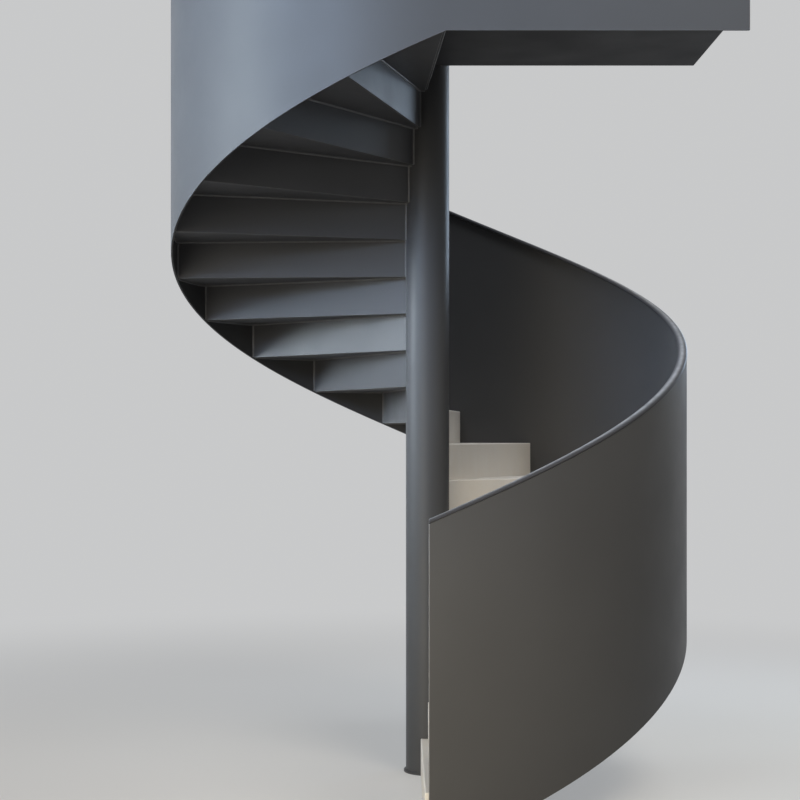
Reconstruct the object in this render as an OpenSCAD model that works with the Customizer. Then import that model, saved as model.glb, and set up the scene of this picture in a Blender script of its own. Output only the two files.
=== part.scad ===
// Spiral staircase of folded steel steps around one tubular column, with a solid
// helical guard of sheet steel and a quarter landing at the top.
// It climbs counterclockwise seen from above, just over one full turn.
// Origin: centre of the column's foot on the finished floor, +Z up.

/* [Stair] */
// Rise of one step, finished surface to finished surface
riser_h = 184; // [165:1:195]
// Number of steps below the landing
step_count = 19; // [16:1:19]
// Angle that the flight turns through, from its first riser to its last
flight_turn = 362.9; // [300:0.1:375]
// Direction from the column to the end of the round guard, where the landing starts
landing_angle = 270; // [180:1:360]
// Angle from the end of the round guard to the last riser
landing_lag = 2.3; // [1.5:0.1:6]

/* [Column] */
// Outer diameter of the column tube
column_d = 219.1; // [170:0.1:270]
// Wall of the column tube
column_wall = 8; // [5:0.5:12]
// How far the foot plate reaches out round the column
foot_reach = 10.5; // [5:0.5:60]
// Thickness of the foot plate
foot_t = 12; // [8:1:25]
// Thickness of the cap that closes the column
cap_t = 10; // [6:1:20]

/* [Steps] */
// Thickness of the folded steel plate
plate_t = 10; // [6:1:14]
// Depth of the pale tread slab on the steel plate
slab_t = 60; // [30:1:70]
// Thickness of the pale facing on the riser
facing_t = 16; // [10:1:25]
// How far the back of each steel riser lies ahead of its radial line
riser_lead = 10; // [0:1:20]
// Bevel along the front edge of each tread
arris = 3; // [1:0.5:6]

/* [Guard] */
// Radius of the guard's outer face
guard_r = 1290; // [1100:5:1500]
// Thickness of the guard sheet
sheet_t = 10; // [6:1:14]
// Height of the guard's top edge above the finished floor at the first riser
guard_top = 1350; // [1150:5:1500]
// How far the guard's lower edge hangs below the steel steps
guard_drop = 6; // [2:1:40]
// Width of the rail on the guard
rail_w = 46; // [30:1:60]
// Height of the rail at the middle of its crown
rail_t = 20; // [12:1:30]
// Height of the rail's sides below the crown
rail_side = 6; // [2:1:10]
// How far the rail stands proud of the guard's outer face
rail_proud = 2; // [0:1:6]

/* [Landing] */
// Distance from the column's axis to the landing's bearing edge
landing_reach = 1330; // [1100:5:1600]
// How far the guard at the landing's rear edge reaches into the column's outline
well_inset = 19.55; // [16:0.05:40]
// Depth of the steel deck under the pale slab
deck_h = 66; // [40:1:120]
// Thickness of the plate at the bearing edge
end_plate_t = 12; // [8:1:20]
// Number of ribs inside the deck
rib_count = 3; // [1:1:5]
// Diameter of the two fixing holes in the bearing edge
fixing_d = 18; // [12:1:22]
// Distance between the fixing holes
fixing_gap = 900; // [500:10:1000]

/* [Hidden] */
column_r = column_d / 2;
foot_d = column_d + 2 * foot_reach;
inner_r = guard_r - sheet_t;
step_angle = flight_turn / step_count;
last_angle = landing_angle + landing_lag;
first_angle = last_angle - flight_turn;
landing_level = riser_h * (step_count + 1);
tread_build = slab_t + plate_t;
// Offsets of the riser's three planes from its radial line
steel_back = -riser_lead;
steel_front = steel_back - plate_t;
face_front = steel_front - facing_t;
// The wedges are drawn this far out before the guard's circle trims them
beyond_r = guard_r * 1.2;
// The guard starts at the first steel riser and levels out at the last one
guard_start = first_angle - asin(-steel_front / guard_r);
helix_start = first_angle - asin(riser_lead / inner_r);
// The landing is drawn with its front along X and the last riser at this angle
drawn_last = 270 + landing_lag;
level_x = left_x(steel_back, inner_r);
level_angle = landing_angle + level_x / guard_r * 180 / PI;
rise_per_degree = riser_h / step_angle;
guard_bottom_end = rise_per_degree * (level_angle - helix_start) - tread_build - guard_drop;
guard_top_end = rise_per_degree * (level_angle - helix_start) + guard_top;
sheet_top_end = guard_top_end - rail_t;
touch_down = helix_start + (tread_build + guard_drop) / rise_per_degree;
deck_top = landing_level - slab_t;
deck_bottom = deck_top - deck_h;
landing_rear = column_r - well_inset;
well_face = -landing_rear - sheet_t;
bearing_edge = [[landing_reach, -inner_r], [landing_reach, well_face]];
// Guard panels span three steps each, rails five, and the last ones what is left
panel_steps = 3;
rail_steps = 5;
rings_per_step = 8;
crown_parts = 8;
smooth = 180;
// The guard's flat facets stay clear of the round step ends by this factor
chord_spread = 1 / cos(step_angle / rings_per_step / 2);

steps = [for (k = [1 : step_count]) str("step_", k < 10 ? "0" : "", k)];
treads = [for (k = [1 : step_count]) str("tread_", k < 10 ? "0" : "", k)];
panel_count = ceil(step_count / panel_steps);
panels = [for (k = [1 : panel_count]) str("guard_panel_", k)];
rail_count = ceil(step_count / rail_steps);
rails = [for (k = [1 : rail_count]) str("handrail_", k)];

steel = [0.20, 0.20, 0.21];
edge_steel = [0.30, 0.30, 0.31];
screed = [0.74, 0.71, 0.66];

function riser_angle(k) = first_angle + step_angle * (k - 1);
function level(k) = riser_h * k;

// Point of the guard's plan at a distance from the column's axis: an arc up to the
// front, then a straight run along the landing's front edge
function plan_point(a, r) = a <= landing_angle ? chord_spread * r * [cos(a), sin(a)] :
    let (run = (a - landing_angle) * guard_r * PI / 180, c = cos(landing_angle), s = sin(landing_angle))
    [r * c - run * s, r * s + run * c];
function helix_rise(a) = rise_per_degree * (min(a, level_angle) - helix_start);
function guard_low(a) = max(0, helix_rise(a) - tread_build - guard_drop);
function sheet_high(a) = helix_rise(a) + guard_top - rail_t;

// Angles of the rings between two directions, about as close as the steps ask
function ring_list(a, b) = let (n = ceil((b - a) / step_angle * rings_per_step - 0.01))
    [for (i = [0 : n]) a + (b - a) * i / n];
function panel_start(k) = k == 1 ? guard_start : riser_angle(1 + panel_steps * (k - 1));
function panel_end(k) = k == panel_count ? level_angle : riser_angle(1 + panel_steps * k);
function panel_rings(k) = k == 1 ?
    concat(ring_list(guard_start, touch_down), [for (a = ring_list(touch_down, panel_end(1)))
        if (a > touch_down) a]) :
    k == panel_count ? concat(ring_list(panel_start(k), landing_angle), [level_angle]) :
    ring_list(panel_start(k), panel_end(k));
function rail_start(k) = k == 1 ? guard_start : riser_angle(1 + rail_steps * (k - 1));
function rail_rings(k) = k == rail_count ?
    concat(ring_list(rail_start(k), landing_angle), [level_angle]) :
    ring_list(rail_start(k), riser_angle(1 + rail_steps * k));

// Solid through a row of closed rings that all have the same number of points
module skin(rings) {
    n = len(rings[0]);
    last = len(rings) - 1;
    sides = [for (i = [0 : last - 1], j = [0 : n - 1], half = [0, 1])
        let (p = i * n + j, q = i * n + (j + 1) % n)
        half == 0 ? [p, p + n, q] : [q, p + n, q + n]];
    start_cap = [[for (j = [0 : n - 1]) j]];
    end_cap = [[for (j = [0 : n - 1]) last * n + n - 1 - j]];
    polyhedron(points = [for (ring = rings) each ring],
        faces = concat(start_cap, sides, end_cap));
}

function sheet_ring(a) = [
    for (corner = [[inner_r, guard_low(a)], [guard_r, guard_low(a)],
        [guard_r, sheet_high(a)], [inner_r, sheet_high(a)]])
    concat(plan_point(a, corner[0]), corner[1])];

// Rail section as distances from the guard's outer face and from its own underside:
// a flat bar with a crowned top
rail_section = let (half = rail_w / 2, middle = rail_proud - half)
    concat([[middle - half, 0], [middle + half, 0]],
        [for (i = [0 : crown_parts]) let (turn = 180 * i / crown_parts)
            [middle + half * cos(turn), rail_side + (rail_t - rail_side) * sin(turn)]]);
function rail_ring(a) = [for (p = rail_section)
    concat(plan_point(a, guard_r + p[0]), sheet_high(a) + p[1])];

// Everything between the column and the guard
module stair_ring(z, h) {
    translate([0, 0, z]) linear_extrude(h) difference() {
        circle(r = inner_r, $fn = smooth);
        circle(r = column_r, $fn = smooth);
    }
}

// Wedge from a plane of this riser to a plane of the next one
module wedge(z, h, near, far) {
    next = step_angle;
    // The two planes meet at this distance along the first one
    meet = (near * cos(next) - far) / sin(next);
    translate([0, 0, z]) linear_extrude(h) polygon([
        [meet, near],
        [beyond_r, near],
        [beyond_r * cos(next) - far * sin(next), beyond_r * sin(next) + far * cos(next)]]);
}

// Upright slab along the riser, between two offsets from its radial line
module riser_slab(z, h, near, far) {
    translate([0, near, z]) cube([beyond_r, far - near, h]);
}

module foot_plate() {
    color(steel) cylinder(h = foot_t, d = foot_d, $fn = smooth);
}

module column() {
    h = guard_top_end - cap_t - foot_t;
    color(steel) translate([0, 0, foot_t]) difference() {
        cylinder(h = h, r = column_r, $fn = smooth);
        translate([0, 0, -1]) cylinder(h = h + 2, r = column_r - column_wall, $fn = smooth);
    }
}

module column_cap() {
    color(steel) translate([0, 0, guard_top_end - cap_t])
        cylinder(h = cap_t, r = column_r, $fn = smooth);
}

// Folded steel step: the riser and the plate that carries the tread
module step(k) {
    low = k == 1 ? 0 : level(k - 1) - tread_build;
    high = level(k) - slab_t;
    color(steel) difference() {
        rotate(riser_angle(k)) intersection() {
            union() {
                riser_slab(low, high - low, steel_front, steel_back);
                wedge(high - plate_t, plate_t, steel_front, steel_front);
            }
            stair_ring(low, high - low);
        }
        if (k == 1) foot_clearance();
    }
}

// The lowest step is notched round the foot plate
module foot_clearance() {
    translate([0, 0, -1]) cylinder(h = foot_t + 1, d = foot_d, $fn = smooth);
}

// Takes the sharp corner off the front edge of a tread
module nosing_bevel(k) {
    size = 4 * arris;
    translate([0, face_front + arris / 2, level(k) - arris / 2]) rotate([45, 0, 0])
        translate([-beyond_r, -size / 2, 0]) cube([2 * beyond_r, size, size]);
}

// Pale tread slab with the facing that runs down its riser
module tread(k) {
    low = level(k - 1);
    slab_low = level(k) - slab_t;
    color(screed) difference() {
        rotate(riser_angle(k)) difference() {
            intersection() {
                union() {
                    riser_slab(low, slab_low - low + 1, face_front, steel_front);
                    wedge(slab_low, slab_t, face_front, steel_front);
                }
                stair_ring(low, riser_h);
            }
            nosing_bevel(k);
        }
        if (k == 1) foot_clearance();
    }
}

module guard_panel(k) {
    color(steel) skin([for (a = panel_rings(k)) sheet_ring(a)]);
}

module handrail(k) {
    color(edge_steel) skin([for (a = rail_rings(k)) rail_ring(a)]);
}

// Turns what is drawn with its front along X to where the flight ends
module at_landing() {
    rotate(landing_angle - 270) children();
}

// Where a plane of the last riser crosses a line parallel to the landing's front
function left_x(plane, depth) = let (along = (depth + plane * cos(drawn_last)) / -sin(drawn_last))
    along * cos(drawn_last) - plane * sin(drawn_last);
// Ends of that plane at the landing's front and rear edges
function riser_ends(plane) = [[left_x(plane, inner_r), -inner_r], [left_x(plane, -well_face), well_face]];

// Plan from a plane of the last riser to a row of points farther right, cut round the column
module landing_plan(plane, right) {
    ends = riser_ends(plane);
    difference() {
        polygon([ends[0], right[0], right[1], ends[1]]);
        circle(r = column_r, $fn = smooth);
    }
}

// Steel riser that ends the flight under the edge of the landing
module landing_riser() {
    low = level(step_count) - tread_build;
    color(steel) at_landing() translate([0, 0, low]) linear_extrude(deck_top - low)
        landing_plan(steel_front, riser_ends(steel_back));
}

// Shallow steel tray with ribs, open at the top under the pale slab
module landing_deck() {
    bay_front = inner_r - plate_t;
    bay_rear = -well_face + plate_t;
    bay_left = left_x(steel_back, bay_front) + plate_t;
    bay_right = landing_reach - end_plate_t;
    bay_w = (bay_right - bay_left - rib_count * plate_t) / (rib_count + 1);
    color(steel) at_landing() difference() {
        translate([0, 0, deck_bottom]) linear_extrude(deck_h)
            landing_plan(steel_back, bearing_edge);
        for (bay = [0 : rib_count]) {
            translate([bay_left + bay * (bay_w + plate_t), -bay_front, deck_bottom + plate_t])
                cube([bay_w, bay_front - bay_rear, deck_h]);
        }
        for (side = [-1, 1]) {
            translate([bay_right - 1, (well_face - inner_r + side * fixing_gap) / 2,
                (deck_top + deck_bottom) / 2])
                rotate([0, 90, 0]) cylinder(h = end_plate_t + 2, d = fixing_d, $fn = 48);
        }
    }
}

module landing_floor() {
    low = level(step_count);
    color(screed) at_landing() difference() {
        union() {
            translate([0, 0, deck_top]) linear_extrude(slab_t) landing_plan(face_front, bearing_edge);
            translate([0, 0, low]) linear_extrude(riser_h)
                landing_plan(face_front, riser_ends(steel_front));
        }
        rotate(drawn_last) nosing_bevel(step_count + 1);
    }
}

module landing_guard() {
    color(steel) at_landing() translate([level_x, -guard_r, guard_bottom_end])
        cube([landing_reach - level_x, sheet_t, sheet_top_end - guard_bottom_end]);
}

// Straight rail from one end to the other, with the section of the curved one
module straight_rail(from_x, to_x) {
    translate([from_x, 0, 0]) rotate([90, 0, 90]) linear_extrude(to_x - from_x)
        polygon([for (p = rail_section) [-p[0], p[1]]]);
}

module landing_rail() {
    color(edge_steel) at_landing() translate([0, -guard_r, sheet_top_end])
        straight_rail(level_x, landing_reach);
}

module well_guard() {
    color(steel) at_landing() difference() {
        translate([0, well_face, deck_bottom])
            cube([landing_reach, sheet_t, sheet_top_end - deck_bottom]);
        translate([0, 0, deck_bottom - 1]) cylinder(h = guard_top_end, r = column_r, $fn = smooth);
    }
}

module well_rail() {
    color(edge_steel) at_landing() difference() {
        translate([0, -landing_rear, sheet_top_end]) mirror([0, 1, 0]) straight_rail(0, landing_reach);
        cylinder(h = guard_top_end + 1, r = column_r, $fn = smooth);
    }
}

foot_plate();
column();
column_cap();
for (k = [1 : step_count]) step(k);
for (k = [1 : step_count]) tread(k);
for (k = [1 : panel_count]) guard_panel(k);
for (k = [1 : rail_count]) handrail(k);
landing_riser();
landing_deck();
landing_floor();
landing_guard();
landing_rail();
well_guard();
well_rail();
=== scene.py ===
"""Looks of a spiral staircase with a solid helical guard and a quarter landing."""

import math

import bmesh
import bpy
import numpy as np
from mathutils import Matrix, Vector


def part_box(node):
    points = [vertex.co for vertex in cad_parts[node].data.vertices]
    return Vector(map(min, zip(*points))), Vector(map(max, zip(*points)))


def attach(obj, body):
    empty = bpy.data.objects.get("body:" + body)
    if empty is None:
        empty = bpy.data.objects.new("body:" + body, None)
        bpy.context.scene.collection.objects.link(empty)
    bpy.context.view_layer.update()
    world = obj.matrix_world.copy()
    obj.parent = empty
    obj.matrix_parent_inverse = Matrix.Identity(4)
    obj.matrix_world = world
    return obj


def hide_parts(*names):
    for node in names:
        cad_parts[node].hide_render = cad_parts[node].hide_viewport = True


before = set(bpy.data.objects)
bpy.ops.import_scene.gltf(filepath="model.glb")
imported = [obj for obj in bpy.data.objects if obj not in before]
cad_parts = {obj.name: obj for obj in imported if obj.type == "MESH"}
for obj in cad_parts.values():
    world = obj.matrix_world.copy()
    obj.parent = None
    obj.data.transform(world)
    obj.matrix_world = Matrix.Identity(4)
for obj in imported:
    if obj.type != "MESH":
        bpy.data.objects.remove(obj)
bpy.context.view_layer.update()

# Sizes of the stair, in metres and degrees

STEP_RISE = 0.184
STEP_COUNT = 19
FLIGHT_TURN = 362.9  # from the first riser to the last
LANDING_ANGLE = 270.0  # direction in which the round guard ends and the landing starts
LANDING_LAG = 2.3  # from there to the last riser
LANDING_REACH = 1.330  # from the column's axis to the landing's bearing edge
COLUMN_RADIUS = 0.10955
COLUMN_WALL = 0.008
GUARD_RADIUS = 1.290  # of the guard's outer face
SHEET = 0.010  # thickness of the guard
GUARD_TOP = 1.350  # height of the rail above the floor at the first riser
GUARD_DROP = 0.006  # how far the guard hangs below the steel steps
RAIL_WIDTH = 0.046
RAIL_HEIGHT = 0.020  # at the middle of its crown
RAIL_SIDE = 0.006  # height of its sides below the crown
RAIL_PROUD = 0.002  # how far it stands out from the guard's outer face
SLAB = 0.060  # depth of a pale tread
PLATE = 0.010  # thickness of a steel step
RISER_LEAD = 0.010  # how far the back of a steel riser lies ahead of its radial line
PANEL_STEPS = 3  # steps that one guard panel spans
RAIL_STEPS = 5  # steps that one length of rail spans

# What follows from these sizes

INNER_RADIUS = GUARD_RADIUS - SHEET
RAIL_MIDDLE = GUARD_RADIUS + RAIL_PROUD - RAIL_WIDTH / 2
TREAD_BUILD = SLAB + PLATE
STEEL_BACK = -RISER_LEAD
STEEL_FRONT = STEEL_BACK - PLATE
STEP_ANGLE = FLIGHT_TURN / STEP_COUNT
LAST_ANGLE = LANDING_ANGLE + LANDING_LAG
FIRST_ANGLE = LAST_ANGLE - FLIGHT_TURN
RISE_PER_DEGREE = STEP_RISE / STEP_ANGLE
GUARD_START = FIRST_ANGLE - math.degrees(math.asin(-STEEL_FRONT / GUARD_RADIUS))
HELIX_START = FIRST_ANGLE - math.degrees(math.asin(RISER_LEAD / INNER_RADIUS))
TOUCH_DOWN = HELIX_START + (TREAD_BUILD + GUARD_DROP) / RISE_PER_DEGREE


def turned(along, across, degrees):
    """Plan point given along and across a direction."""
    c, s = math.cos(math.radians(degrees)), math.sin(math.radians(degrees))
    return along * c - across * s, along * s + across * c


def turn_along(run):
    """Degrees round the column that a distance along the guard's outer face takes."""
    return math.degrees(run / GUARD_RADIUS)


def last_riser_x(plane, depth):
    """Where a plane of the last riser crosses a line parallel to the landing's front."""
    c, s = math.cos(math.radians(LAST_ANGLE)), math.sin(math.radians(LAST_ANGLE))
    along = (depth + plane * c) / -s
    return along * c - plane * s


# Past the landing's angle, an angle stands for a distance along the guard's straight run
LEVEL_ANGLE = LANDING_ANGLE + turn_along(last_riser_x(STEEL_BACK, INNER_RADIUS))
END_ANGLE = LANDING_ANGLE + turn_along(LANDING_REACH)


def riser_angle(k):
    """Direction of the riser of step k."""
    return FIRST_ANGLE + STEP_ANGLE * (k - 1)


def level(k):
    """Height of step k above the floor."""
    return STEP_RISE * k


def helix_rise(a):
    """How far the guard has risen at an angle. It levels out at the last riser."""
    return RISE_PER_DEGREE * (min(a, LEVEL_ANGLE) - HELIX_START)


def guard_low(a):
    """Height of the guard's lower edge, which lies on the floor until the steps have risen enough."""
    return max(0.0, helix_rise(a) - TREAD_BUILD - GUARD_DROP)


def sheet_high(a):
    """Height of the guard's sheet, on which the rail lies."""
    return helix_rise(a) + GUARD_TOP - RAIL_HEIGHT


def plan_point(a, r):
    """Point of the guard's plan: an arc up to the front, then straight along the landing."""
    if a <= LANDING_ANGLE:
        return turned(r, 0.0, a)
    return math.radians(a - LANDING_ANGLE) * GUARD_RADIUS, -r


# Materials

NOISE_RANGE = (0.3, 0.7)  # most of a noise lies within these
WHOLE_RANGE = (0.0, 1.0)
HIGHLIGHT_ATTRIBUTE = "arris"  # mesh attribute that tells how much painted highlight a point gets


class Nodes:
    """Short way to add and link the nodes of one tree."""

    def __init__(self, tree):
        self.tree = tree

    def feed(self, node, inputs):
        """Links a node's inputs to outputs, or sets them to numbers, vectors or colours."""
        for key, value in inputs.items():
            target = node.inputs[key]
            if isinstance(value, bpy.types.NodeSocket):
                self.tree.links.new(value, target)
            elif target.type == "RGBA":
                target.default_value = (*value, 1)
            else:
                target.default_value = value

    def add(self, kind, inputs=None, **settings):
        """New node with its settings made and its inputs fed."""
        node = self.tree.nodes.new(kind)
        for key, value in settings.items():
            setattr(node, key, value)
        self.feed(node, inputs or {})
        return node

    def combine(self, operation, one, two):
        """Two factors put together, such as multiplied."""
        node = self.add("ShaderNodeMath", {0: one, 1: two}, operation=operation)
        return node.outputs["Value"]

    def spread(self, source, low, high, within=NOISE_RANGE, **settings):
        """Factor that goes from low to high while its source goes through a range."""
        inputs = {"Value": source, "From Min": within[0], "From Max": within[1],
                  "To Min": low, "To Max": high}
        return self.add("ShaderNodeMapRange", inputs, **settings).outputs["Result"]

    def mix(self, factor, low, high):
        """Mix of two colours or colour outputs by a factor output."""
        inputs = {"Factor": factor, "A": low, "B": high}
        return self.add("ShaderNodeMix", inputs, data_type="RGBA").outputs["Result"]

    def blend(self, factor, one, two):
        """Mix of two shaders by a factor output."""
        return self.add("ShaderNodeMixShader", {"Fac": factor, 1: one, 2: two}).outputs["Shader"]

    def seen_directly(self):
        """Factor of 1 for what the camera, reflections and glass see, and 0 for the light on things."""
        path = self.add("ShaderNodeLightPath")
        seen = path.outputs["Is Camera Ray"]
        for ray in ("Is Glossy Ray", "Is Transmission Ray"):
            seen = self.combine("MAXIMUM", seen, path.outputs[ray])
        return seen


class Surface(Nodes):
    """Nodes of one material, round its main shader."""

    def __init__(self, name):
        self.material = bpy.data.materials.new(name)
        self.material.use_nodes = True
        super().__init__(self.material.node_tree)
        self.shader = self.tree.nodes["Principled BSDF"]
        self.coords = self.add("ShaderNodeTexCoord").outputs["Object"]

    def give(self, colour, roughness, gloss):
        """What every surface here has: a colour, a roughness and a plain level of gloss."""
        inputs = {"Base Color": colour, "Roughness": roughness, "Specular IOR Level": gloss}
        self.feed(self.shader, inputs)

    def noise(self, scale, detail, roughness=0.5, stretch=(1, 1, 1)):
        place = self.add("ShaderNodeMapping", {"Vector": self.coords, "Scale": stretch})
        inputs = {"Vector": place.outputs["Vector"], "Scale": scale,
                  "Detail": detail, "Roughness": roughness}
        return self.add("ShaderNodeTexNoise", inputs).outputs["Fac"]

    def relief(self, coarse, coarse_depth, fine, fine_depth):
        """Gives the surface a fine relief on top of a coarse one."""
        below = self.add("ShaderNodeBump", {"Height": coarse, "Distance": coarse_depth})
        inputs = {"Height": fine, "Distance": fine_depth, "Normal": below.outputs["Normal"]}
        above = self.add("ShaderNodeBump", inputs)
        self.feed(self.shader, {"Normal": above.outputs["Normal"]})


def shade(colour, factor):
    return tuple(c * factor for c in colour)


def satin_paint(name, colour, highlight_colour, roughness, gloss):
    """Satin paint on sheet steel: faint clouds, a sprayed texture, a softly rolled sheet.

    Where the mesh's attribute says so, the paint takes its second, lighter colour: a painted highlight."""
    darker, lighter = 0.95, 1.06
    smoother, rougher = 0.05, 0.06
    n = Surface(name)
    clouds = n.spread(n.noise(scale=1.3, detail=3.0), low=0.0, high=1.0)
    base = n.mix(clouds, shade(colour, darker), shade(colour, lighter))
    # Painted highlight: the second colour, broken up by noise, where the mesh's attribute marks
    # arrises, the rail's crown and the beads
    highlight_mask = n.add("ShaderNodeAttribute", attribute_name=HIGHLIGHT_ATTRIBUTE).outputs["Fac"]
    patchy = n.spread(n.noise(scale=24.0, detail=3.0), low=0.5, high=0.85)
    highlit = n.combine("MULTIPLY", highlight_mask, patchy)
    sheen = n.spread(n.noise(scale=4.0, detail=4.0), low=roughness - smoother, high=roughness + rougher)
    n.give(n.mix(highlit, base, highlight_colour), sheen, gloss)
    rolled = n.noise(scale=2.2, detail=1.0)
    sprayed = n.noise(scale=700.0, detail=2.0)
    n.relief(coarse=rolled, coarse_depth=0.0007, fine=sprayed, fine_depth=0.00006)
    return n.material


def mineral_screed(name, light, dark, warm):
    """Trowelled mineral finish: broad clouds, faint upright strokes, fine grain and dark pores."""
    gloss = 0.35
    pore_shade = 0.55
    n = Surface(name)
    clouds = n.spread(n.noise(scale=3.1, detail=5.0, roughness=0.6), low=0.0, high=1.0)
    strokes = n.noise(scale=13.0, detail=4.0, roughness=0.65, stretch=(1, 1, 0.22))
    strokes = n.spread(strokes, low=0.0, high=1.0)
    warmth = n.spread(strokes, low=0.0, high=0.65, within=WHOLE_RANGE)
    ground = n.mix(warmth, n.mix(clouds, dark, light), warm)
    holes = n.noise(scale=260.0, detail=3.0, roughness=0.7)
    pores = n.spread(holes, low=0.30, high=0.0, within=(0.28, 0.36))
    sheen = n.spread(strokes, low=0.52, high=0.68, within=WHOLE_RANGE)
    n.give(n.mix(pores, ground, shade(dark, pore_shade)), sheen, gloss)
    trowelled = n.noise(scale=14.0, detail=3.0, stretch=(1, 1, 0.4))
    grain = n.noise(scale=420.0, detail=3.0, roughness=0.7)
    n.relief(coarse=trowelled, coarse_depth=0.0011, fine=grain, fine_depth=0.00012)
    return n.material


# Lighter colour painted on as a highlight along the guard's arrises and ends and along the beads
PAINTED_HIGHLIGHT = (0.22, 0.22, 0.225)
GUARD_PAINT = satin_paint("guard_paint", (0.070, 0.070, 0.072), PAINTED_HIGHLIGHT, roughness=0.46, gloss=0.14)
STEP_PAINT = satin_paint("step_paint", (0.082, 0.083, 0.088), PAINTED_HIGHLIGHT, roughness=0.46, gloss=0.20)
# Lighter paint on the steps' rounded and chamfered edges: a painted highlight along them
STEP_EDGE_HIGHLIGHT = satin_paint("step_edge", (0.135, 0.136, 0.14), PAINTED_HIGHLIGHT, roughness=0.40, gloss=0.24)
# Darker than the other paints: painted shade on the landing's underside
DECK_SHADED_PAINT = satin_paint("deck_paint_shaded", (0.045, 0.045, 0.048), (0.12, 0.12, 0.125),
                         roughness=0.62, gloss=0.08)
COLUMN_PAINT = satin_paint("column_paint", (0.072, 0.073, 0.077), (0.20, 0.20, 0.205),
                           roughness=0.42, gloss=0.15)
# Darker base than the guard's: painted shade on the rail's sides. Its lighter second colour is a
# painted highlight along the crown.
RAIL_PAINT = satin_paint("rail_paint", (0.038, 0.038, 0.042), (0.32, 0.32, 0.33),
                         roughness=0.42, gloss=0.12)
PALE = mineral_screed("pale_screed", light=(0.745, 0.715, 0.675), dark=(0.685, 0.65, 0.61),
                      warm=(0.715, 0.665, 0.60))
# Lighter screed on the treads' rounded and chamfered edges: a painted highlight along the nosings
PALE_EDGE_HIGHLIGHT = mineral_screed("screed_edge_highlight", light=(0.85, 0.825, 0.785), dark=(0.80, 0.77, 0.73),
                           warm=(0.83, 0.79, 0.73))


# Meshes

# An edge sharper than its piece's angle stays sharp in the shading
SHARP_ANGLE = 30
COPY_SHARP_ANGLE = 40
ROUND_SHARP_ANGLE = 50
FACE_WEIGHT = 100  # full weight of the large faces keeps true flats flat


def add_piece(name, mesh, material, replaced=(), sharp_angle=SHARP_ANGLE):
    """Puts a mesh on the stair, with smooth shading that keeps its flats flat."""
    mesh.materials.clear()
    mesh.materials.append(material)
    mesh.shade_smooth()
    mesh.set_sharp_from_angle(angle=math.radians(sharp_angle))
    obj = bpy.data.objects.new(name, mesh)
    bpy.context.scene.collection.objects.link(obj)
    weighted = obj.modifiers.new("normals", "WEIGHTED_NORMAL")
    weighted.weight = FACE_WEIGHT
    weighted.keep_sharp = True
    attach(obj, "root")
    if replaced:
        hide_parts(*replaced)
    return obj


def outward(mesh):
    """Turns all faces of a closed mesh outwards."""
    work = bmesh.new()
    work.from_mesh(mesh)
    bmesh.ops.recalc_face_normals(work, faces=work.faces)
    work.to_mesh(mesh)
    work.free()


def side_faces(near, far, count):
    """Faces between two rings of so many points, given the number of each ring's first point."""
    pairs = [(j, (j + 1) % count) for j in range(count)]
    return [(near + j, far + j, far + k, near + k) for j, k in pairs]


def swept_mesh(name, runs, highlit, highlit_ends=0):
    """Closed solids, one for each run of rings that all have the same number of points.

    The third argument tells how much painted highlight each point of a ring gets, and the last one how
    many rings at both ends get it all round."""
    points, faces = [], []
    for rings in runs:
        start, count = len(points), len(rings[0])
        points += [p for ring in rings for p in ring]
        for i in range(len(rings) - 1):
            faces += side_faces(start + i * count, start + (i + 1) * count, count)
        last = start + (len(rings) - 1) * count
        faces.append(tuple(start + j for j in range(count)))
        faces.append(tuple(last + count - 1 - j for j in range(count)))
    mesh = bpy.data.meshes.new(name)
    mesh.from_pydata(points, [], faces)
    mesh.validate()
    # Share of the painted highlight at each point
    values = np.tile(np.array(highlit, np.float32), len(points) // len(highlit))
    if highlit_ends:
        values[:highlit_ends * len(highlit)] = 1.0
        values[-highlit_ends * len(highlit):] = 1.0
    mesh.attributes.new(HIGHLIGHT_ATTRIBUTE, "FLOAT", "POINT").data.foreach_set("value", values)
    outward(mesh)
    return mesh


def angles(start, end, step, extra=()):
    """Ring angles from start to end, with the extra ones among them."""
    digits = 6
    count = max(1, math.ceil((end - start) / step))
    found = {round(start + (end - start) * i / count, digits) for i in range(count + 1)}
    found |= {round(a, digits) for a in extra if start < a < end}
    return sorted(found)


def numbered(name, steps):
    """Names of the nodes that each span so many steps of the flight."""
    return ["%s_%d" % (name, k + 1) for k in range(math.ceil(STEP_COUNT / steps))]


# Guard and rail

RING_STEP = 1.0  # degrees between two rings
END_TURNS = (0, 30, 60)  # degrees through which an end's rounding has turned at each of its rings
SHEET_ARRIS = 0.0022
SHEET_END_ROUND = 0.0042
ARRIS_LIMIT = 0.45  # the most that an arris may be of the sheet's thickness
ARRIS_PARTS = 3
RAIL_ARRIS = 0.0015
RAIL_END_ROUND = 0.0050
CROWN_PARTS = 18
CROWN_HIGHLIGHT_POWER = 7  # how narrow the painted highlight along the crown is


def rounded_run(ring, end_round):
    """Rings along the whole guard, drawn in at both ends so that these are rounded too."""
    turns = [math.radians(turn) for turn in END_TURNS]
    eased = [(end_round * (1 - math.cos(turn)), end_round * (1 - math.sin(turn))) for turn in turns]
    body = angles(GUARD_START + turn_along(end_round), LANDING_ANGLE, RING_STEP, (TOUCH_DOWN,))
    rings = [ring(GUARD_START + turn_along(run), inset) for run, inset in eased]
    rings += [ring(a, 0.0) for a in body + [LEVEL_ANGLE, END_ANGLE - turn_along(end_round)]]
    rings += [ring(END_ANGLE - turn_along(run), inset) for run, inset in reversed(eased)]
    return rings


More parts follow.
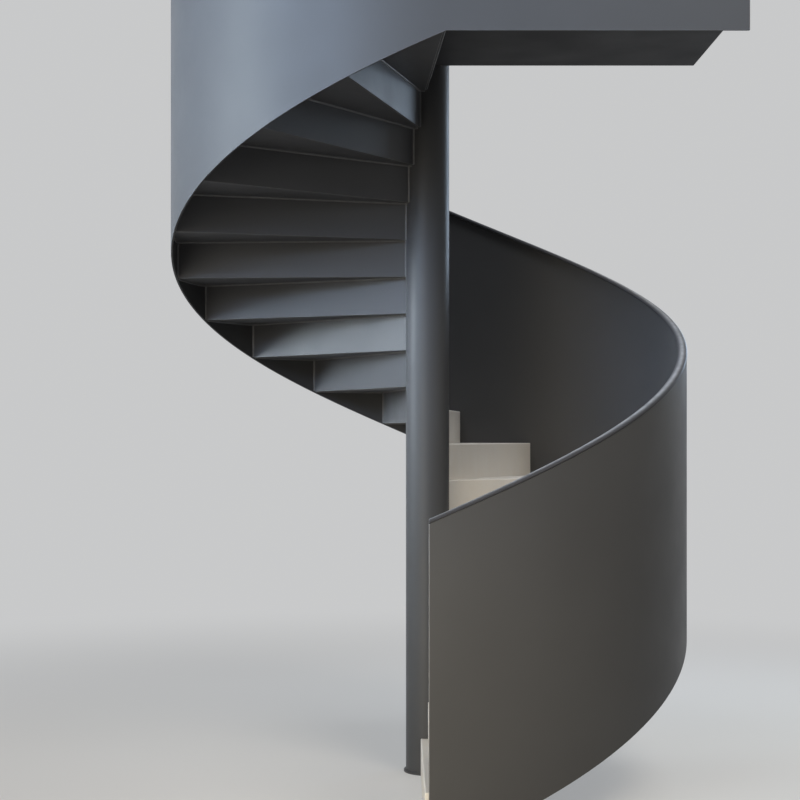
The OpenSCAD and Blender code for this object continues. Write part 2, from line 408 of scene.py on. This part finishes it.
def rounded_section(corners, radius):
    """Closed section with each of its square corners rounded."""
    points = []
    for i, corner in enumerate(corners):
        here = Vector(corner)
        back = (Vector(corners[i - 1]) - here).normalized()
        ahead = (Vector(corners[(i + 1) % len(corners)]) - here).normalized()
        centre = here + (back + ahead) * radius
        for j in range(ARRIS_PARTS + 1):
            turn = math.pi / 2 * j / ARRIS_PARTS
            points.append(centre - ahead * radius * math.cos(turn) - back * radius * math.sin(turn))
    return points


def guard_ring(a, inset):
    """Section of the guard's sheet at an angle, drawn in by an inset."""
    low, high = guard_low(a) + inset, sheet_high(a)
    inner, outer = INNER_RADIUS + inset, GUARD_RADIUS - inset
    arris = min(SHEET_ARRIS, ARRIS_LIMIT * (outer - inner))
    section = rounded_section([(inner, low), (outer, low), (outer, high), (inner, high)], arris)
    return [(*plan_point(a, p.x), p.y) for p in section]


def guard_highlight():
    """The middle of each rounded corner gets a painted highlight, and the flat sides don't."""
    corners = 4
    return ([0.0] + [1.0] * (ARRIS_PARTS - 1) + [0.0]) * corners


def rail_section(inset):
    """Crowned bar about its own middle: flat underside, short sides, elliptic top."""
    half, crown = RAIL_WIDTH / 2 - inset, RAIL_HEIGHT - RAIL_SIDE - inset
    points = [(-half, RAIL_ARRIS), (-half + RAIL_ARRIS, 0.0)]
    points += [(half - RAIL_ARRIS, 0.0), (half, RAIL_ARRIS)]
    for i in range(CROWN_PARTS + 1):
        turn = math.pi * i / CROWN_PARTS
        points.append((half * math.cos(turn), RAIL_SIDE + crown * math.sin(turn)))
    return points


def rail_ring(a, inset):
    """Section of the rail at an angle, drawn in by an inset."""
    return [(*plan_point(a, RAIL_MIDDLE + x), sheet_high(a) + z) for x, z in rail_section(inset)]


def rail_highlight():
    """The middle of the crown gets a narrow painted highlight, and its sides don't."""
    arch = [max(0.0, math.sin(math.pi * i / CROWN_PARTS)) for i in range(CROWN_PARTS + 1)]
    underside = [0.0] * (len(rail_section(0.0)) - len(arch))
    return underside + [height ** CROWN_HIGHLIGHT_POWER for height in arch]


def make_guard():
    run = rounded_run(guard_ring, SHEET_END_ROUND)
    mesh = swept_mesh("guard_sheet", [run], guard_highlight(), len(END_TURNS))
    panels = numbered("guard_panel", PANEL_STEPS)
    add_piece("guard_sheet", mesh, GUARD_PAINT, panels + ["landing_guard"])


def make_rail():
    run = rounded_run(rail_ring, RAIL_END_ROUND)
    mesh = swept_mesh("guard_rail", [run], rail_highlight())
    lengths = numbered("handrail", RAIL_STEPS)
    add_piece("guard_rail", mesh, RAIL_PAINT, lengths + ["landing_rail"], ROUND_SHARP_ANGLE)


# Column, steps and landing

COLUMN_FACETS = 144
STEEL_ROUND = 0.0018
SCREED_ROUND = 0.0020
RAIL_ROUND = 0.0008
ROUND_SEGMENTS = 2
ROUNDED_FROM = 30  # an edge sharper than this is rounded
SAME_POINT = 0.00002
FLAT_WITHIN = 0.5  # degrees by which coplanar triangles may differ
CHAMFER_SLOPE = (0.4, 0.9)  # the normal's height on a chamfered edge lies between these
EDGE_INDEX = 1


def make_column():
    """Tube with enough facets for its outline to be round."""
    low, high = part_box("column")
    inner = COLUMN_RADIUS - COLUMN_WALL
    profile = [(inner, low.z), (COLUMN_RADIUS, low.z), (COLUMN_RADIUS, high.z), (inner, high.z)]
    count = len(profile)
    points, faces = [], []
    for i in range(COLUMN_FACETS):
        points += [(*turned(r, 0.0, 360.0 * i / COLUMN_FACETS), z) for r, z in profile]
        faces += side_faces(i * count, (i + 1) % COLUMN_FACETS * count, count)
    mesh = bpy.data.meshes.new("column_tube")
    mesh.from_pydata(points, [], faces)
    outward(mesh)
    add_piece("column_tube", mesh, COLUMN_PAINT, ["column"])


def softened(node, prefix, material, width, edge=None):
    """Copy of a CAD piece with its coplanar triangles joined and its edges rounded.

    The rounded edges and a chamfered one take the edge material, where there is one: a lighter colour,
    painted as a highlight along them."""
    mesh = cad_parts[node].data.copy()
    mesh.name = prefix + node
    flat = math.radians(FLAT_WITHIN)
    work = bmesh.new()
    work.from_mesh(mesh)
    bmesh.ops.remove_doubles(work, verts=work.verts, dist=SAME_POINT)
    bmesh.ops.dissolve_limit(work, angle_limit=flat, verts=work.verts, edges=work.edges)
    bmesh.ops.recalc_face_normals(work, faces=work.faces)
    work.to_mesh(mesh)
    work.free()
    obj = add_piece(prefix + node, mesh, material, [node], COPY_SHARP_ANGLE)
    bevel = obj.modifiers.new("arris", "BEVEL")
    bevel.width = width
    bevel.segments = ROUND_SEGMENTS
    bevel.limit_method = "ANGLE"
    bevel.angle_limit = math.radians(ROUNDED_FROM)
    # The edges are rounded before the normals are weighted
    obj.modifiers.move(1, 0)
    if edge:
        low, high = CHAMFER_SLOPE
        mesh.materials.append(edge)
        bevel.material = EDGE_INDEX
        for face in mesh.polygons:
            if low < face.normal.z < high:
                face.material_index = EDGE_INDEX


def steel(node, paint, edge=None):
    softened(node, "steel_", paint, STEEL_ROUND, edge)


def screed(node):
    softened(node, "pale_", PALE, SCREED_ROUND, PALE_EDGE_HIGHLIGHT)


def make_steps():
    for k in range(1, STEP_COUNT + 1):
        steel("step_%02d" % k, STEP_PAINT, STEP_EDGE_HIGHLIGHT)
        screed("tread_%02d" % k)


def make_landing():
    steel("landing_riser", STEP_PAINT, STEP_EDGE_HIGHLIGHT)
    steel("landing_deck", DECK_SHADED_PAINT)
    screed("landing_floor")
    steel("well_guard", GUARD_PAINT)
    softened("well_rail", "steel_", RAIL_PAINT, RAIL_ROUND)


def make_column_ends():
    steel("foot_plate", COLUMN_PAINT)
    steel("column_cap", COLUMN_PAINT)


# Sealed joints under the steps

BEAD = 0.0065  # how far a bead reaches along each of its two walls
BEAD_PARTS = 4
BEAD_ROOT = 0.15  # share of that reach by which the bead's back lies inside the corner
BEAD_BULGE = 0.16  # share of that reach by which its face bulges
BEAD_FOOT = 0.002  # how far above its riser's foot an upright bead starts
BEAD_STEP = 2.0  # degrees between two rings of a curved bead
# share of the painted highlight on a bead's face, for the light line along each joint
BEAD_HIGHLIGHT = 0.8


def bead_ring(corner, one, two):
    """Ring of a bead in a corner, from the corner along one wall and then the other."""
    corner, one, two = Vector(corner), Vector(one), Vector(two)
    ring = [corner - (one + two) * BEAD * BEAD_ROOT]
    for j in range(BEAD_PARTS + 1):
        t = j / BEAD_PARTS
        bulge = BEAD_BULGE * math.sin(math.pi * t)
        ring.append(corner + one * BEAD * (1 - t + bulge) + two * BEAD * (t + bulge))
    return ring


def riser_point(r, a):
    """Plan point on the back of a riser, at a distance from the column's axis."""
    along = math.sqrt(r * r - STEEL_BACK * STEEL_BACK)
    return Vector((*turned(along, STEEL_BACK, a), 0))


def riser_beads(k):
    """Beads round the back of one riser: at the guard, at the column and under its tread plate."""
    a = riser_angle(k)
    out = Vector((*turned(1, 0, a), 0))
    behind = Vector((*turned(0, 1, a), 0))
    up = Vector((0, 0, 1))
    foot = up * (level(k - 1) - TREAD_BUILD + BEAD_FOOT)
    head = up * (level(k) - TREAD_BUILD)
    guard_end = riser_point(INNER_RADIUS, a)
    column_end = riser_point(COLUMN_RADIUS, a)
    outer = [bead_ring(guard_end + height, -out, behind) for height in (foot, head)]
    inner = [bead_ring(column_end + height, out, behind) for height in (foot, head)]
    top = [bead_ring(end + head, -up, behind) for end in (column_end, guard_end)]
    return [outer, inner, top]


def plate_beads(k):
    """Beads under one tread plate, along the guard and round the column."""
    z = level(k) - TREAD_BUILD
    runs = []
    for r, inward in ((INNER_RADIUS, -1), (COLUMN_RADIUS, 1)):
        start = riser_angle(k) + math.degrees(math.asin(STEEL_BACK / r))
        end = riser_angle(k + 1) + math.degrees(math.asin(STEEL_FRONT / r))
        runs.append([bead_ring((*turned(r, 0, a), z), (*turned(inward, 0, a), 0), (0, 0, -1))
                     for a in angles(start, end, BEAD_STEP)])
    return runs


def make_beads():
    """Beads of all steps. The first riser stands on the floor and has none at its back."""
    # Painted highlight on each bead's face, none on its back inside the corner
    highlit = [0.0] + [BEAD_HIGHLIGHT] * (BEAD_PARTS + 1)
    upright = [run for k in range(2, STEP_COUNT + 1) for run in riser_beads(k)]
    flat = [run for k in range(1, STEP_COUNT + 1) for run in plate_beads(k)]
    for name, runs in (("riser_beads", upright), ("plate_beads", flat)):
        mesh = swept_mesh(name, runs, highlit)
        add_piece(name, mesh, STEP_PAINT, sharp_angle=ROUND_SHARP_ANGLE)


# Studio

EYE = (-0.2366, -7.873, 1.708)
LENS = 69.87  # in millimetres, as the sensor's width is
SENSOR = 36.0
FRAME_SHIFT = (0.0239, 0.0425)  # shares of the frame's width
BACKDROP = (0.58, 0.585, 0.59)
FLOOR_COLOUR = (0.82, 0.785, 0.735)
FLOOR_BOUNCE = (0.30, 0.29, 0.275)
FLOOR_REACH = 60.0
FADE_FROM = 2.2  # distance from the column at which the floor starts to fade
FADE_TO = 7.5  # distance from the column at which only the backdrop is left
FADE_NEAR = 0.5  # share of the backdrop in what is seen of the floor at the stair
FILL_COLOUR = (0.90, 0.95, 1.0)
FILL_STRENGTH = 0.10


def make_camera():
    """The photograph's viewpoint: an eye at standing height, looking level, with a shifted frame."""
    data = bpy.data.cameras.new("camera")
    data.lens = LENS
    data.sensor_width = SENSOR
    data.shift_x, data.shift_y = FRAME_SHIFT
    camera = bpy.data.objects.new("camera", data)
    camera.location = EYE
    camera.rotation_euler = (math.radians(90), 0, 0)
    bpy.context.scene.collection.objects.link(camera)
    bpy.context.scene.camera = camera


def make_floor():
    """Pale floor that keeps the stair's shadow and fades into the backdrop farther off.

    Its paleness is for the eye: it throws less light up under the steps."""
    corners = [(x * FLOOR_REACH, y * FLOOR_REACH, 0) for x, y in ((-1, -1), (1, -1), (1, 1), (-1, 1))]
    mesh = bpy.data.meshes.new("floor")
    mesh.from_pydata(corners, [], [(0, 1, 2, 3)])
    floor = bpy.data.objects.new("floor", mesh)
    bpy.context.scene.collection.objects.link(floor)
    n = Surface("studio_floor")
    seen = n.seen_directly()
    n.give(n.mix(seen, FLOOR_BOUNCE, FLOOR_COLOUR), roughness=0.7, gloss=0.2)
    away = n.add("ShaderNodeVectorMath", {0: n.coords}, operation="LENGTH").outputs["Value"]
    fade = n.spread(away, FADE_NEAR, 1.0, (FADE_FROM, FADE_TO), interpolation_type="SMOOTHSTEP")
    glow = n.add("ShaderNodeEmission", {"Color": BACKDROP}).outputs["Emission"]
    surface = n.blend(n.combine("MULTIPLY", fade, seen), n.shader.outputs["BSDF"], glow)
    n.feed(n.tree.nodes["Material Output"], {"Surface": surface})
    mesh.materials.append(n.material)


def make_world():
    """Faint cool light from all round, behind a backdrop that only the eye and reflections see."""
    world = bpy.data.worlds.new("studio")
    bpy.context.scene.world = world
    world.use_nodes = True
    world.node_tree.nodes.clear()
    n = Nodes(world.node_tree)
    fill = n.add("ShaderNodeBackground", {"Color": FILL_COLOUR, "Strength": FILL_STRENGTH})
    shown = n.add("ShaderNodeBackground", {"Color": BACKDROP})
    both = n.blend(n.seen_directly(), fill.outputs["Background"], shown.outputs["Background"])
    n.add("ShaderNodeOutputWorld", {"Surface": both})


def soft_lamp(name, place, aim, size, power, colour, spread=180):
    """Rectangular lamp at a place, turned towards its aim. Its light spreads through an angle."""
    data = bpy.data.lights.new(name, "AREA")
    data.shape = "RECTANGLE"
    data.size, data.size_y = size
    data.energy = power
    data.color = colour
    data.spread = math.radians(spread)
    lamp = bpy.data.objects.new(name, data)
    lamp.location = place
    direction = Vector(aim) - Vector(place)
    lamp.rotation_euler = direction.to_track_quat("-Z", "Y").to_euler()
    lamp.visible_camera = False
    bpy.context.scene.collection.objects.link(lamp)


def make_lights():
    """Large soft lamps: cool ones at the left, behind and above, and warm ones in front."""
    soft_lamp("lamp_left", place=(-7.4, -0.9, 3.7), aim=(0, 0, 2.9), size=(5.0, 3.2),
              power=88, colour=(0.82, 0.93, 1.0), spread=40)
    soft_lamp("lamp_left_high", place=(-4.0, -4.0, 4.6), aim=(-0.2, -0.8, 3.9), size=(4.2, 2.6),
              power=80, colour=(0.52, 0.70, 1.0), spread=60)
    soft_lamp("lamp_front_left", place=(-4.2, -7.2, 3.4), aim=(0, 0, 2.0), size=(3.6, 3.0),
              power=105, colour=(1.0, 0.92, 0.80))
    soft_lamp("lamp_front_right", place=(3.2, -5.2, 7.6), aim=(0, 0, 2.0), size=(3.6, 3.0),
              power=310, colour=(1.0, 0.94, 0.83))
    soft_lamp("lamp_rear", place=(4.2, 3.8, 3.6), aim=(0, 0, 3.0), size=(2.4, 2.0),
              power=98, colour=(0.60, 0.78, 1.0))
    soft_lamp("lamp_top_right", place=(3.2, 0.0, 9.8), aim=(0, 0, 2.0), size=(3.6, 3.0),
              power=150, colour=(0.84, 0.92, 1.0))
    soft_lamp("lamp_top_left", place=(-2.4, -1.8, 9.9), aim=(0, 0, 2.0), size=(3.6, 3.0),
              power=190, colour=(0.90, 0.93, 1.0))
    soft_lamp("lamp_low", place=(-2.0, -5.0, 0.8), aim=(0.6, -1.3, 0.7), size=(2.0, 1.3),
              power=17, colour=(1.0, 0.88, 0.66), spread=60)


make_camera()
make_guard()
make_rail()
make_column()
make_steps()
make_landing()
make_column_ends()
make_beads()
make_floor()
make_world()
make_lights()

bpy.context.scene.view_settings.view_transform = "Standard"
